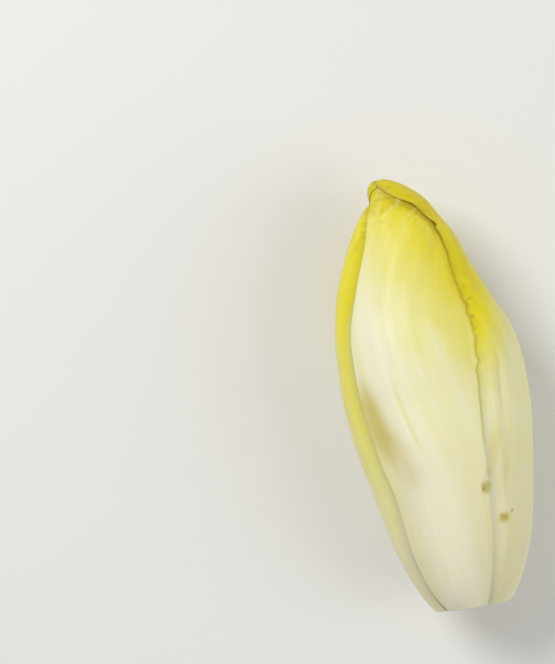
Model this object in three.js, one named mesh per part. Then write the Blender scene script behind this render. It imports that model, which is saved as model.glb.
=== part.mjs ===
// A head of belgian endive (witloof chicory), as cut, lying on its side on a surface.
//
// Frame: millimetres, +Z up, the head's long axis along Y with its tip towards +Y.
// The origin is on the surface, under the middle of the head's box.
//
// The head is a bud. Every leaf grows from a short cone-shaped core and wraps about
// half way round the leaves inside it, so all of them are shaped by one rule: a point
// of a leaf is given by its angle round the head, its distance along the head and its
// depth under the head's skin. Angles run from the top (0) to the right side (90),
// seen from above with the tip away from the viewer. A leaf lies as deep as the
// leaves outside it are thick, and comes up to the skin again past their margins.

import * as THREE from 'three';

// The head's skin, seen from above: distance from the cut, middle line, half width.
const LENGTH = 158.2;
const SKIN = [
  [0, 0, 13.4],
  [5, 0.2, 17.0],
  [12, 0.4, 20.6],
  [24, 0.7, 24.8],
  [44, 1.0, 28.9],
  [64, 0.9, 32.4],
  [82, 0.6, 33.8],
  [92, 0.4, 33.2],
  [100, -0.5, 31.8],
  [108.6, -1.9, 29.1],
  [121.5, -3.0, 24.7],
  [132.7, -2.3, 20.4],
  [141.8, -2.1, 15.2],
  [149, -1.6, 10.5],
  [155, -4.0, 6.3],
  [LENGTH, -5.8, 0],
];

// Its height as a share of its width: round at the cut, a little flatter at the belly.
const ROUNDNESS = [
  [0, 1.0],
  [40, 0.955],
  [60, 0.93],
  [82, 0.868],
  [125, 0.91],
  [LENGTH, 1.0],
];

// The head rests on a small flat spot under its weight, pressed into its lowest place.
const LOWEST_PLACE = 67;
const FLAT_SPOT_DEPTH = 1.0;

// Towards the tip the layers close over one point inside the head, like a bud's.
const BUD_START = 116;
const BUD_ROUNDING = 22;

// Thickness of a leaf's blade, what its fleshy rib adds, and the rib's half width, from
// the foot (0) to the tip (1).
const BLADE_THICKNESS = [
  [0, 1.6],
  [0.4, 1.2],
  [0.8, 0.95],
  [1, 0.68],
];
const RIB_EXTRA = [
  [0, 2.3],
  [0.3, 1.9],
  [0.6, 1.1],
  [1, 0.1],
];
const RIB_HALF_WIDTH = [
  [0, 13],
  [0.35, 11],
  [0.7, 8],
  [1, 5],
];
const CREST_HEIGHT = 0.7;

// The leaves inside have flatter and wider ribs than those that show. The gap is the air
// under a leaf. The rise is how far past its margin the leaf inside comes up to the skin,
// and the tip rise how far past its tip.
const SHOWN_BUILD = { ribShare: 1, ribWidening: 1, footGap: 0.32, gap: 0.65, rise: 15, tipRise: 5 };
const HIDDEN_BUILD = { ribShare: 0.6, ribWidening: 1.4, footGap: 0.75, gap: 0.75, rise: 24, tipRise: 12 };

// The outer leaves grow together at their feet, where little air is left.
const FOOT_GAP_END = 22;

// Towards the tip the rise is shorter.
const CLEAR_PAST_MARGIN = 1.5;
const RISE_AT_TIP = 0.5;
const RISE_SHORTENS = [122, 150];
const LEDGE_UNDER_FOOT = 5;

// The margins of the right leaf stand up and wave towards the tip.
const MARGIN_LIFT = 0.7;
const MARGIN_LIFT_WIDTH = 5;
const MARGIN_LIFT_START = 96;
const MARGIN_LIFT_END = 148;
const MARGIN_WAVE = 0.5;
const MARGIN_WAVE_LENGTH = 13;

// Leaves that show: rows of distance from the cut, one margin and the other, in degrees.
const LEFT_LEAF = {
  name: 'leaf_01_left',
  foot: 0,
  tip: 151,
  midrib: [[0, -124], [80, -122], [151, -115]],
  margins: [
    [0, -184, -66],
    [25, -188, -60],
    [44, -192, -56],
    [58, -194, -58],
    [80, -197, -61],
    [105, -196, -60],
    [121, -190, -51],
    [134, -182, -48],
    [139, -177, -50],
    [143, -171, -56],
    [146.5, -163, -69],
    [149, -150, -90],
    [150.5, -138, -108],
    [151, -130, -118],
  ],
  lift: 0,
};
const RIGHT_LEAF = {
  name: 'leaf_02_right',
  foot: 0,
  tip: 158.05,
  pointed: true,
  midrib: [[0, 112], [80, 110], [158, 130]],
  margins: [
    [0, 24, 184],
    [25, 25, 192],
    [50, 24.6, 197],
    [62, 24.2, 198.2],
    [80, 26.4, 200],
    [92, 30, 200.8],
    [104, 36.8, 202],
    [114, 41, 204.4],
    [122, 45.5, 207],
    [131, 48.5, 212],
    [136, 50, 219],
    [139.5, 51, 225],
    [143, 44, 235],
    [146.5, 33, 245],
    [149.2, 17, 257],
    [151.4, 5, 275],
    [153.2, -5, 292],
    [155, -14, 308],
    [156.4, -25, 329],
    [158.05, -46, 309],
  ],
  lift: 1,
};
const FRONT_LEAF = {
  name: 'leaf_03_front',
  foot: 0,
  tip: 157.9,
  midrib: [[0, -14], [45, -20], [74, -31], [100, -39], [140, -44], [157.9, -36]],
  margins: [
    [0, -92, 56],
    [25, -98, 56],
    [60, -110, 56],
    [90, -120, 58],
    [120, -122, 64],
    [138, -122, 78],
    [146, -120, 70],
    [150, -118, 58],
    [153, -112, 44],
    [155, -102, 30],
    [156.6, -86, 10],
    [157.5, -66, -12],
    [157.9, -48, -30],
  ],
  lift: 0,
};

// The leaves under them follow the plant's own spiral, each a little shorter.
const SPIRAL_STEP = 137.5;
const HIDDEN_LEAVES = 9;
const FIRST_HIDDEN_ANGLE = -168.5;
const FIRST_HIDDEN_FOOT = 4;
const FOOT_STEP = 3;
const FIRST_HIDDEN_TIP = 151;
const TIP_STEPS = [0, -1, -3, -6, -9, -13, -18, -24, -31];
const HIDDEN_SPREAD = [
  [0, 62],
  [0.3, 70],
  [0.6, 76],
  [0.8, 74],
  [0.9, 62],
  [0.96, 42],
  [1, 14],
];

// The core that carries the leaves, and the heart, the bud of small leaves on top of it.
// At the cut, the core fills the room past each leaf's margin, over this width.
const CORE_RADIUS = [
  [0, 12],
  [6, 13.5],
  [14, 13],
  [24, 9.5],
  [34, 5],
];
const CORE_TOP = 34;
const CORE_FILLING = 3;
const HEART_FOOT = 34.6;
const HEART_TIP = 126;
const HEART_TURNS = 3;
const HEART_PITCH = 62;
const HEART_STEP = 1.3;
const HEART_AIR = 0.3;

// How finely the solids are divided.
const SHOWN_LEAF = { across: 22, rows: 30, crowding: 0.8 };
const HIDDEN_LEAF = { across: 12, rows: 14, crowding: 0.5 };
const CORE_GRID = { around: 48, rows: 9 };
const HEART_GRID = { around: 30, rows: 16, crowding: 0.5 };

const CREAM = 0xf1ecbc;
const PALE_YELLOW = 0xebe492;
const STEM_WHITE = 0xf2eed0;

const radians = THREE.MathUtils.degToRad;
const smoothstep = THREE.MathUtils.smoothstep;
const clamp = THREE.MathUtils.clamp;

// A smooth curve through rows of [place, value], level with its ends outside them.
function curveThrough(rows, column = 1) {
  const place = rows.map((row) => row[0]);
  const value = rows.map((row) => row[column]);
  const last = rows.length - 1;
  const slope = value.map((_, i) => {
    const before = Math.max(i - 1, 0);
    const after = Math.min(i + 1, last);
    return (value[after] - value[before]) / (place[after] - place[before]);
  });
  return (at) => {
    const x = clamp(at, place[0], place[last]);
    let i = 0;
    while (i < last - 1 && x > place[i + 1]) {
      i += 1;
    }
    const width = place[i + 1] - place[i];
    const t = (x - place[i]) / width;
    const u = 1 - t;
    const start = value[i] * (1 + 2 * t) + slope[i] * width * t;
    const end = value[i + 1] * (3 - 2 * t) - slope[i + 1] * width * u;
    return start * u * u + end * t * t;
  };
}

const middleLine = curveThrough(SKIN);
const halfWidthSquared = curveThrough(SKIN.map(([along, , half]) => [along, half * half]));
const halfWidth = (along) => Math.sqrt(Math.max(halfWidthSquared(along), 0));
const roundness = curveThrough(ROUNDNESS);
const ribExtra = curveThrough(RIB_EXTRA);
const bladeThickness = curveThrough(BLADE_THICKNESS);
const ribHalfWidth = curveThrough(RIB_HALF_WIDTH);
const coreRadius = curveThrough(CORE_RADIUS);

const SPINE_HEIGHT = halfWidth(LOWEST_PLACE) * roundness(LOWEST_PLACE) - FLAT_SPOT_DEPTH;

// The point on the head's spine that a place on the skin looks at.
function spinePoint(along) {
  const past = Math.max(along - BUD_START, 0);
  const y = Math.min(along, BUD_START) + BUD_ROUNDING * (1 - Math.exp(-past / BUD_ROUNDING));
  return new THREE.Vector3(middleLine(y), y, SPINE_HEIGHT);
}

// The way from the spine to the skin, cut short by the surface that the head lies on.
function skinRay(angle, along) {
  const half = halfWidth(along);
  const skin = new THREE.Vector3(
    middleLine(along) + half * Math.sin(radians(angle)),
    along,
    SPINE_HEIGHT + half * roundness(along) * Math.cos(radians(angle)),
  );
  const ray = skin.sub(spinePoint(along));
  if (ray.z < -SPINE_HEIGHT) {
    ray.multiplyScalar(-SPINE_HEIGHT / ray.z);
  }
  return ray;
}

// A point of the head by angle, distance along it and depth under its skin. What stands
// proud of the skin is pressed flat too where the head rests.
function bodyPoint(angle, along, depth) {
  const ray = skinRay(angle, along);
  const length = ray.length();
  const point = spinePoint(along).addScaledVector(ray, (length - depth) / length);
  if (point.z < 0) {
    point.addScaledVector(ray, point.z / -ray.z);
  }
  return point;
}

// A leaf's curves, whether its margins were given or follow the spiral.
function growLeaf(plan, grid, colour) {
  return {
    ...plan,
    grid,
    colour,
    midribAt: curveThrough(plan.midrib),
    lowAt: curveThrough(plan.margins, 1),
    highAt: curveThrough(plan.margins, 2),
  };
}

function hiddenPlan(index) {
  const foot = FIRST_HIDDEN_FOOT + FOOT_STEP * index;
  const tip = FIRST_HIDDEN_TIP + TIP_STEPS[index];
  const middle = FIRST_HIDDEN_ANGLE - SPIRAL_STEP * index;
  const margins = HIDDEN_SPREAD.map(([share, spread]) => [
    foot + (tip - foot) * share,
    middle - spread,
    middle + spread,
  ]);
  return {
    name: `leaf_${String(index + 4).padStart(2, '0')}`,
    foot,
    tip,
    midrib: [[foot, middle], [tip, middle]],
    margins,
    lift: 0,
    ...HIDDEN_BUILD,
  };
}

const shownLeaves = [LEFT_LEAF, RIGHT_LEAF, FRONT_LEAF].map((plan) =>
  growLeaf({ ...plan, ...SHOWN_BUILD }, SHOWN_LEAF, CREAM),
);
const hiddenLeaves = Array.from({ length: HIDDEN_LEAVES }, (_, index) =>
  growLeaf(hiddenPlan(index), HIDDEN_LEAF, PALE_YELLOW),
);
const leaves = [...shownLeaves, ...hiddenLeaves];

const turnTo = (angle, middle) => THREE.MathUtils.euclideanModulo(angle - middle + 180, 360) - 180;
const arcLength = (degrees, along) => radians(degrees) * halfWidth(along);
const growth = (leaf, along) => clamp((along - leaf.foot) / (leaf.tip - leaf.foot), 0, 1);

// One on the rib's middle line, falling to nothing at its sides.
function ribShape(leaf, angle, along) {
  const width = ribHalfWidth(growth(leaf, along)) * leaf.ribWidening;
  const fromRib = arcLength(turnTo(angle, leaf.midribAt(along)), along) / width;
  return Math.exp(-fromRib * fromRib);
}

function leafThickness(leaf, angle, along) {
  const grown = growth(leaf, along);
  return bladeThickness(grown) + leaf.ribShare * ribExtra(grown) * ribShape(leaf, angle, along);
}

function gapUnder(leaf, along) {
  return leaf.footGap + (leaf.gap - leaf.footGap) * smoothstep(along, 0, FOOT_GAP_END);
}

// How much a leaf presses on what lies inside it: all of it inside its margins, less
// and less past them.
function cover(leaf, angle, along, rise = leaf.rise) {
  const low = leaf.lowAt(along);
  const high = leaf.highAt(along);
  const turned = Math.abs(turnTo(angle, (low + high) / 2)) - (high - low) / 2;
  const past = Math.max(arcLength(Math.max(turned, 0), along) - CLEAR_PAST_MARGIN, 0);
  const shortening = smoothstep(along, ...RISE_SHORTENS);
  const beside = past / (rise * (1 + (RISE_AT_TIP - 1) * shortening));
  const above = Math.max(along - leaf.tip, 0) / leaf.tipRise;
  const below = Math.max(leaf.foot - along, 0) / LEDGE_UNDER_FOOT;
  return 1 - smoothstep(Math.hypot(beside, above, below), 0, 1);
}

// Depth of the layer under the first leaves, counted from the outside.
function depthUnder(count, angle, along) {
  let depth = 0;
  for (const leaf of leaves.slice(0, count)) {
    depth += (leafThickness(leaf, angle, along) + gapUnder(leaf, along)) * cover(leaf, angle, along);
  }
  return depth;
}

// What stands proud of the smooth layer on a leaf: its rib and its lifted margins, where
// no leaf outside it presses them down.
function relief(order, angle, along) {
  const leaf = leaves[order];
  const crest = CREST_HEIGHT * (1 - growth(leaf, along)) * ribShape(leaf, angle, along);
  const toMargin = arcLength(Math.min(angle - leaf.lowAt(along), leaf.highAt(along) - angle), along);
  const edge = 1 - smoothstep(toMargin, 0, MARGIN_LIFT_WIDTH);
  const wave = MARGIN_WAVE * Math.sin((2 * Math.PI * along) / MARGIN_WAVE_LENGTH);
  const rising = smoothstep(along, MARGIN_LIFT_START, MARGIN_LIFT_END);
  const ending = 1 - smoothstep(along, MARGIN_LIFT_END, LENGTH);
  const lift = leaf.lift * rising * ending * (MARGIN_LIFT + wave);
  const free = leaves.slice(0, order).reduce((part, outer) => part * (1 - cover(outer, angle, along)), 1);
  return (crest + lift * edge) * free;
}

// Depth of the core's side. At the cut, where no hidden leaf starts yet, the core fills the
// room past the margins of the leaves round it.
function depthOfCore(angle, along) {
  const atCut = shownLeaves.map((leaf, order) => {
    const outside = depthUnder(order, angle, along) - relief(order, angle, along);
    const under = outside + leafThickness(leaf, angle, along) + gapUnder(leaf, along);
    return under * cover(leaf, angle, along, CORE_FILLING);
  });
  const aboveCut = depthUnder(leaves.length, angle, along);
  return THREE.MathUtils.lerp(Math.max(...atCut), aboveCut, smoothstep(along, 0, FIRST_HIDDEN_FOOT));
}

// A closed solid from two like grids of points, one over the other. Where the last row is
// a single point, its columns are one corner.
function closedGrid(outer, inner, pointed) {
  const rows = outer.length;
  const columns = outer[0].length;
  const points = [...outer.flat(), ...inner.flat()];
  const under = rows * columns;
  const at = (row, column) => row * columns + (pointed && row === rows - 1 ? 0 : column);
  const index = [];
  const triangle = (a, b, c) => {
    if (a !== b && b !== c && c !== a) {
      index.push(a, b, c);
    }
  };
  const quad = (a, b, c, d) => {
    triangle(a, c, b);
    triangle(a, d, c);
  };
  for (let row = 0; row < rows - 1; row += 1) {
    for (let column = 0; column < columns - 1; column += 1) {
      const corners = [at(row, column), at(row + 1, column), at(row + 1, column + 1), at(row, column + 1)];
      // Both faces are cut along the outer face's shorter diagonal, so they stay apart.
      const [p, q, r, s] = corners.map((corner) => points[corner]);
      if (p.distanceTo(r) > q.distanceTo(s)) {
        corners.push(corners.shift());
      }
      quad(...corners);
      const [a, b, c, d] = corners.map((corner) => corner + under);
      quad(a, d, c, b);
    }
  }
  const rim = [];
  for (let column = 0; column < columns - 1; column += 1) {
    rim.push(at(0, column));
  }
  for (let row = 0; row < rows - 1; row += 1) {
    rim.push(at(row, columns - 1));
  }
  for (let column = columns - 1; column > 0; column -= 1) {
    rim.push(at(rows - 1, column));
  }
  for (let row = rows - 1; row > 0; row -= 1) {
    rim.push(at(row, 0));
  }
  rim.forEach((corner, i) => {
    const next = rim[(i + 1) % rim.length];
    quad(corner, next, next + under, corner + under);
  });
  return geometryOf(points, index);
}

// A closed solid from rings of points, with a flat or pointed end at both ends.
function closedRings(rings, start, end) {
  const around = rings[0].length;
  const points = [start, ...rings.flat(), end];
  const at = (ring, step) => 1 + ring * around + (step % around);
  const last = points.length - 1;
  const index = [];
  for (let step = 0; step < around; step += 1) {
    index.push(0, at(0, step + 1), at(0, step));
    for (let ring = 0; ring < rings.length - 1; ring += 1) {
      const [a, b] = [at(ring, step), at(ring + 1, step)];
      const [c, d] = [at(ring + 1, step + 1), at(ring, step + 1)];
      index.push(a, c, b, a, d, c);
    }
    index.push(at(rings.length - 1, step), at(rings.length - 1, step + 1), last);
  }
  return geometryOf(points, index);
}

function geometryOf(points, index) {
  const geometry = new THREE.BufferGeometry();
  geometry.setFromPoints(points);
  geometry.setIndex(index);
  geometry.computeVertexNormals();
  return geometry;
}

// Rows come closer together towards both ends, where a leaf bends most.
function rowPlace(share, crowding) {
  return share * (1 - crowding) + (crowding * (1 - Math.cos(Math.PI * share))) / 2;
}

function leafGeometry(leaf, order) {
  const { across, rows, crowding } = leaf.grid;
  const outer = [];
  const inner = [];
  const places = Array.from(
    { length: rows + 1 },
    (_, row) => leaf.foot + (leaf.tip - leaf.foot) * rowPlace(row / rows, crowding),
  );
  if (leaf.pointed) {
    places.push(LENGTH);
  }
  for (const along of places) {
    const low = leaf.lowAt(along);
    const high = leaf.highAt(along);
    const outerRow = [];
    const innerRow = [];
    for (let column = 0; column <= across; column += 1) {
      const angle = low + ((high - low) * column) / across;
      const depth = depthUnder(order, angle, along) - relief(order, angle, along);
      outerRow.push(bodyPoint(angle, along, depth));
      innerRow.push(bodyPoint(angle, along, depth + leafThickness(leaf, angle, along)));
    }
    outer.push(outerRow);
    inner.push(innerRow);
  }
  return closedGrid(outer, inner, leaf.pointed);
}

function coreGeometry() {
  const { around, rows } = CORE_GRID;
  const rings = [];
  for (let row = 0; row <= rows; row += 1) {
    const along = (CORE_TOP * row) / rows;
    const ring = [];
    for (let step = 0; step < around; step += 1) {
      const angle = (360 * step) / around;
      const skin = skinRay(angle, along).length();
      const radius = Math.min(coreRadius(along), skin - depthOfCore(angle, along));
      ring.push(bodyPoint(angle, along, skin - radius));
    }
    rings.push(ring);
  }
  return closedRings(rings, spinePoint(0), spinePoint(CORE_TOP));
}

function heartGeometry() {
  const { around, rows, crowding } = HEART_GRID;
  const rings = [];
  for (let row = 0; row < rows; row += 1) {
    const share = row / rows;
    const along = HEART_FOOT + (HEART_TIP - HEART_FOOT) * rowPlace(share, crowding);
    const closing = Math.sqrt(1 - share ** 5);
    const ring = [];
    for (let step = 0; step < around; step += 1) {
      const angle = (360 * step) / around;
      const skin = skinRay(angle, along).length();
      const turn = (HEART_TURNS * angle) / 360 + along / HEART_PITCH;
      const fold = HEART_STEP * (turn - Math.floor(turn)) * share;
      const room = skin - depthUnder(leaves.length, angle, along) - HEART_AIR;
      ring.push(bodyPoint(angle, along, skin - (room - fold) * closing));
    }
    rings.push(ring);
  }
  return closedRings(rings, spinePoint(HEART_FOOT), spinePoint(HEART_TIP));
}

function piece(name, geometry, colour, roughness) {
  const material = new THREE.MeshStandardMaterial({ color: colour, roughness, metalness: 0 });
  const mesh = new THREE.Mesh(geometry, material);
  mesh.name = name;
  return mesh;
}

const head = new THREE.Group();
head.add(piece('core', coreGeometry(), STEM_WHITE, 0.6));
leaves.forEach((leaf, order) => {
  head.add(piece(leaf.name, leafGeometry(leaf, order), leaf.colour, 0.45));
});
head.add(piece('heart', heartGeometry(), PALE_YELLOW, 0.5));

// The origin goes under the middle of the head's box, on the surface that it lies on.
const box = new THREE.Box3().setFromObject(head);
const centre = box.getCenter(new THREE.Vector3());
head.position.set(-centre.x, -centre.y, -box.min.z);

export default head;
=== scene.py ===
"""A head of belgian endive (witloof chicory), as cut, lying on its side on a pale floor.

Every leaf of the frame is replaced by a finer one of the same form. The form is worked out in millimetres
in the head's own frame: across (to the right), along (from the cut to the tip) and up. An angle runs round
the head from its top (0) to its right side (90), seen from above with the tip away from the viewer.
"""

import math

import bpy
import numpy as np
from bpy.props import FloatProperty, FloatVectorProperty, IntProperty, PointerProperty
from bpy.types import Operator, Panel, PropertyGroup
from mathutils import Matrix, Vector


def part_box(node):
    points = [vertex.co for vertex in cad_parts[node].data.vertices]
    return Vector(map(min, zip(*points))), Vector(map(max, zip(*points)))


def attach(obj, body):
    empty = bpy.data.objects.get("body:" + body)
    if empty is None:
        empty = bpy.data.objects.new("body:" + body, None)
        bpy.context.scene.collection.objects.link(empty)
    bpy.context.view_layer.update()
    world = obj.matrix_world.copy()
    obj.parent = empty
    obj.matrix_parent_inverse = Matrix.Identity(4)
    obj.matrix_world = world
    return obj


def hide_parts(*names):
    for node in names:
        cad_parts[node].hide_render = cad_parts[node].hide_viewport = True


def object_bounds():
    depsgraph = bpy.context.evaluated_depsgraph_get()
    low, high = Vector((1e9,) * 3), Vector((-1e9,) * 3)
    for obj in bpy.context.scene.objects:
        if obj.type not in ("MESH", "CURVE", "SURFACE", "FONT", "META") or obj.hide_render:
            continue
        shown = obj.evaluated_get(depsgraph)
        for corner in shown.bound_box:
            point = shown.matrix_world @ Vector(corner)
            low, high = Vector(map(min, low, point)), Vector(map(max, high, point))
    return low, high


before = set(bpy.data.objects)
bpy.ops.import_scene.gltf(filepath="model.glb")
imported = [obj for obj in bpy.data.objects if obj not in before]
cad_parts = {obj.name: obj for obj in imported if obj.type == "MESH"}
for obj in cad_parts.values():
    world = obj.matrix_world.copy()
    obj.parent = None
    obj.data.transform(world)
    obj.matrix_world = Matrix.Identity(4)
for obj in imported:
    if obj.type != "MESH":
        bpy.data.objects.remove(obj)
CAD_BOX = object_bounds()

bl_info = {
    "name": "Belgian endive head",
    "version": (1, 0, 0),
    "blender": (4, 5, 0),
    "location": "View3D > Sidebar > Endive",
    "description": "Grows a head of belgian endive leaf by leaf, with its floor, lights and camera",
    "category": "Add Mesh",
}

MM = 0.001
SHARP_CORNER = 62

# The head's skin, seen from above: distance from the cut, middle line, half width.
LENGTH = 158.2
SKIN = [
    (0, 0, 13.4), (5, 0.2, 17.0), (12, 0.4, 20.6), (24, 0.7, 24.8), (44, 1.0, 28.9),
    (64, 0.9, 32.4), (82, 0.6, 33.8), (92, 0.4, 33.2), (100, -0.5, 31.8), (108.6, -1.9, 29.1),
    (121.5, -3.0, 24.7), (132.7, -2.3, 20.4), (141.8, -2.1, 15.2), (149, -1.6, 10.5),
    (155, -4.0, 6.3), (LENGTH, -5.8, 0),
]
ROUNDNESS = [(0, 1.0), (40, 0.955), (60, 0.93), (82, 0.868), (125, 0.91), (LENGTH, 1.0)]
LOWEST_PLACE = 67
FLAT_SPOT_DEPTH = 1.0
BUD_START = 116
BUD_ROUNDING = 22

# How leaves are built, from the foot (0) to the tip (1).
BLADE_THICKNESS = [(0, 1.6), (0.4, 1.2), (0.8, 0.95), (1, 0.68)]
RIB_EXTRA = [(0, 2.3), (0.3, 1.9), (0.6, 1.1), (1, 0.1)]
RIB_HALF_WIDTH = [(0, 13), (0.35, 11), (0.7, 8), (1, 5)]
CREST_HEIGHT = 0.7
SHOWN_BUILD = dict(
    shown=True, rib_share=1.0, rib_widening=1.0, foot_gap=0.32, gap=0.65, rise=15, tip_rise=5
)
HIDDEN_BUILD = dict(
    shown=False, rib_share=0.6, rib_widening=1.4, foot_gap=0.75, gap=0.75, rise=24, tip_rise=12
)
FOOT_GAP_END = 22
CLEAR_PAST_MARGIN = 1.5
RISE_AT_TIP = 0.5
RISE_SHORTENS = (122, 150)
LEDGE_UNDER_FOOT = 5
MARGIN_LIFT = 0.7
MARGIN_LIFT_WIDTH = 5
MARGIN_LIFT_START = 96
MARGIN_LIFT_END = 148
MARGIN_WAVE = 0.5
MARGIN_WAVE_LENGTH = 13

# A margin settles on the leaf under it, this far above it, and is drawn down over this width, which
# is at most a share of the head's half width and a little more.
MARGIN_REST = 0.1
MARGIN_SETTLING = 7.0
SETTLING_SHARE = 0.45
SETTLING_MORE = 0.3

# A leaf shows its own relief from here to here past the margin of a leaf that lies on it.
BARE_FROM = (0.3, 3.5)
BARE_PAST_TIP = 2

# The left leaf sinks where the right leaf under it ends: by this share before that margin, and by
# the rest over this width past it.
STEP_BEFORE = 0.72
STEP_DOWN = 1.5

# At the cut, leaves are pressed together with this much air, and that ends at this height.
CUT_AIR = 0.06
CUT_FILLING = 4

# The right leaf closes at the head's very tip, this far short of a point.
TIP_CLOSED = 0.0002

# Leaves that show: rows of distance from the cut, low margin and high margin, in degrees. Each
# turns yellow past its own distance from the cut, on the rib and at either margin. The edge is the
# share of a margin's full thickness that it has at a distance from the cut. Where nothing else is
# said, a leaf has no lifted margin, no settled margin under another leaf, no pale margin and no veins.
PLAIN_LEAF = {"lift": 0, "high_settles": 0, "edge": [(0, 1), (158, 1)], "margin_pale": 0, "veining": 0}
LEFT_LEAF = {
    **PLAIN_LEAF,
    "name": "leaf_01_left",
    "foot": 0,
    "tip": 151,
    "midrib": [(0, -124), (80, -122), (151, -115)],
    "margins": [
        (0, -184, -66), (25, -188, -60), (44, -192, -56), (58, -194, -58), (80, -197, -61),
        (105, -196, -60), (121, -190, -51), (134, -182, -48), (139, -177, -50), (143, -171, -56),
        (146.5, -163, -69), (149, -150, -90), (150.5, -138, -108), (151, -130, -118),
    ],
    "edge": [(0, 0.4), (60, 0.3), (130, 0.22), (151, 0.4)],
    "margin_pale": 0.3,
    "veining": 0.5,
    "yellow_from": {"rib": 42, "low": 60, "high": 46},
    "yellow_over": 90,
    "yellow_share": (0.32, 0.77),
}
RIGHT_LEAF = {
    **PLAIN_LEAF,
    "name": "leaf_02_right",
    "foot": 0,
    "tip": 158.05,
    "midrib": [(0, 112), (80, 110), (158, 130)],
    "margins": [
        (0, 24, 184), (25, 25, 192), (50, 24.6, 197), (62, 24.2, 198.2), (80, 26.4, 200),
        (92, 30, 200.8), (104, 36.8, 202), (114, 41, 204.4), (122, 45.5, 207), (131, 48.5, 212),
        (136, 50, 219), (139.5, 51, 225), (143, 44, 235), (146.5, 33, 245), (149.2, 17, 257),
        (151.4, 5, 275), (153.2, -5, 292), (155, -14, 308), (156.4, -25, 329), (158.05, -46, 309),
    ],
    "lift": 0.3,
    "high_settles": 1,
    "edge": [(0, 0.4), (70, 0.4), (106, 0.55), (116, 0.25), (130, 0.25), (137, 0.8), (142, 1), (158, 1)],
    "veining": 0.3,
    "yellow_from": {"rib": 112, "low": 62, "high": 62},
    "yellow_over": 50,
    "yellow_share": (0.16, 0.95),
}
FRONT_LEAF = {
    **PLAIN_LEAF,
    "name": "leaf_03_front",
    "foot": 0,
    "tip": 157.9,
    "midrib": [(0, -14), (45, -20), (74, -31), (100, -39), (140, -44), (157.9, -36)],
    "margins": [
        (0, -92, 56), (25, -98, 56), (60, -110, 56), (90, -120, 58), (120, -122, 64),
        (138, -122, 78), (146, -120, 70), (150, -118, 58), (153, -112, 44), (155, -102, 30),
        (156.6, -86, 10), (157.5, -66, -12), (157.9, -48, -30),
    ],
    "veining": 1,
    "yellow_from": {"rib": 104, "low": 112, "high": 25},
    "yellow_over": 90,
    "yellow_share": (0.105, 0.72),
}

# Small kinks of the right leaf's front margin: distance from the cut, turn in degrees and length.
FLAP_KINKS = [
    (143.6, 1.6, 0.9), (138.3, 3.4, 1.1), (136.6, -2.4, 0.8), (127, 1.2, 2.2), (107.2, 1.8, 1.0),
    (104.4, -1.2, 0.9), (95.4, 1.2, 1.6), (87.3, 1.6, 1.4), (84, -0.9, 1.2),
]

# The leaves under them follow the plant's own spiral, each a little shorter.
SPIRAL_STEP = 137.5
HIDDEN_LEAVES = 9
FIRST_HIDDEN_ANGLE = -168.5
FIRST_HIDDEN_FOOT = 4
FOOT_STEP = 3
FIRST_HIDDEN_TIP = 151
TIP_STEPS = (0, -1, -3, -6, -9, -13, -18, -24, -31)
HIDDEN_SPREAD = [(0, 62), (0.3, 70), (0.6, 76), (0.8, 74), (0.9, 62), (0.96, 42), (1, 14)]
HIDDEN_YELLOW = {"rib": 112, "low": 70, "high": 70}
HIDDEN_YELLOW_OVER = 40
HIDDEN_YELLOW_SHARE = (0.15, 0.9)

# The yellow fades in above the cut, and deepens over the tip. A pale margin is pale round one place.
YELLOW_FADES = (6, 58)
TIP_YELLOW = 0.55
TIP_YELLOW_PLACE = (130, 157)
TIP_REACH = (26, 4)
MARGIN_PALE_WIDTH = 4
MARGIN_PALE_PLACE = (102, 12)

# The core, up to its top, and how close it comes to the leaves round it at the cut. The knife left its
# face a little dished and rough, and the cut's look ends this far up the side. The spacing of the rings
# that show in the face, and how uneven they are, are in metres.
CORE_RADIUS = [(0, 12), (6, 13.5), (14, 13), (24, 9.5), (34, 5)]
CORE_TOP = 34
CORE_REST = 0.12
CORE_CLEAR = 0.3
CORE_FILLING = 0.8
CUT_DISH = 0.5
CUT_ROUGHNESS = 0.12
CUT_LUMPS = 3.4
CUT_ENDS = 1.5
RING_SPACING = 0.0021
RING_UNEVENNESS = 0.003

# Rows of the core's points: over the face, the first and last share of its radius, their number and the
# share beside the corner. Up the side, the first distances from the cut, then a start and their number.
CUT_SHARES = (0.06, 0.97, 20)
CUT_CORNER = 0.99
CONE_ROWS = ((0.12, 0.5), (1.2, 44))

# The heart, a spiral of folded leaves whose step grows from its foot to its tip.
HEART_FOOT = 34.6
HEART_TIP = 126
HEART_TURNS = 3
HEART_PITCH = 62
HEART_STEP = 1.3
HEART_AIR = 0.3
HEART_BLUNTNESS = 5
HEART_YELLOW = (60, 118)

# Random draws: one seed for each kind of unevenness. Each leaf adds its place in the order to the seeds
# of its ridges and veins.
SEEDS = {"cut": 5, "dent": 11, "ridge": 40, "vein": 60, "ruffle": 71, "wrinkle": 81}

# The whole head is a little uneven, as it pressed on the soil that it grew in.
DENT_SPAN = 38

# Veins leave the rib and fan out to the margins. Their spread grows along the leaf. They wander by a
# share of their spacing, in bends of this length, and each draws its own strength.
VEIN_SPREAD = [(0, 0), (60, 0.12), (90, 0.45), (112, 0.95), (130, 1.65), (145, 2.5), (158, 3.3)]
VEIN_SPREAD_PLACE = 136
VEIN_HALF_WIDTH = 0.2
VEIN_WANDER = 0.12
VEIN_BEND = 17
VEIN_DRAW = 2.4
VEIN_STRENGTH = 0.65

# Veins come in along the leaf, weaken to a share away from the rib, and end inside the margins.
VEINS_SHOW = (116, 138)
VEINS_END = (18, 32)
VEINS_KEPT = 0.2
VEINS_INSIDE = (0.5, 5)

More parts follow.
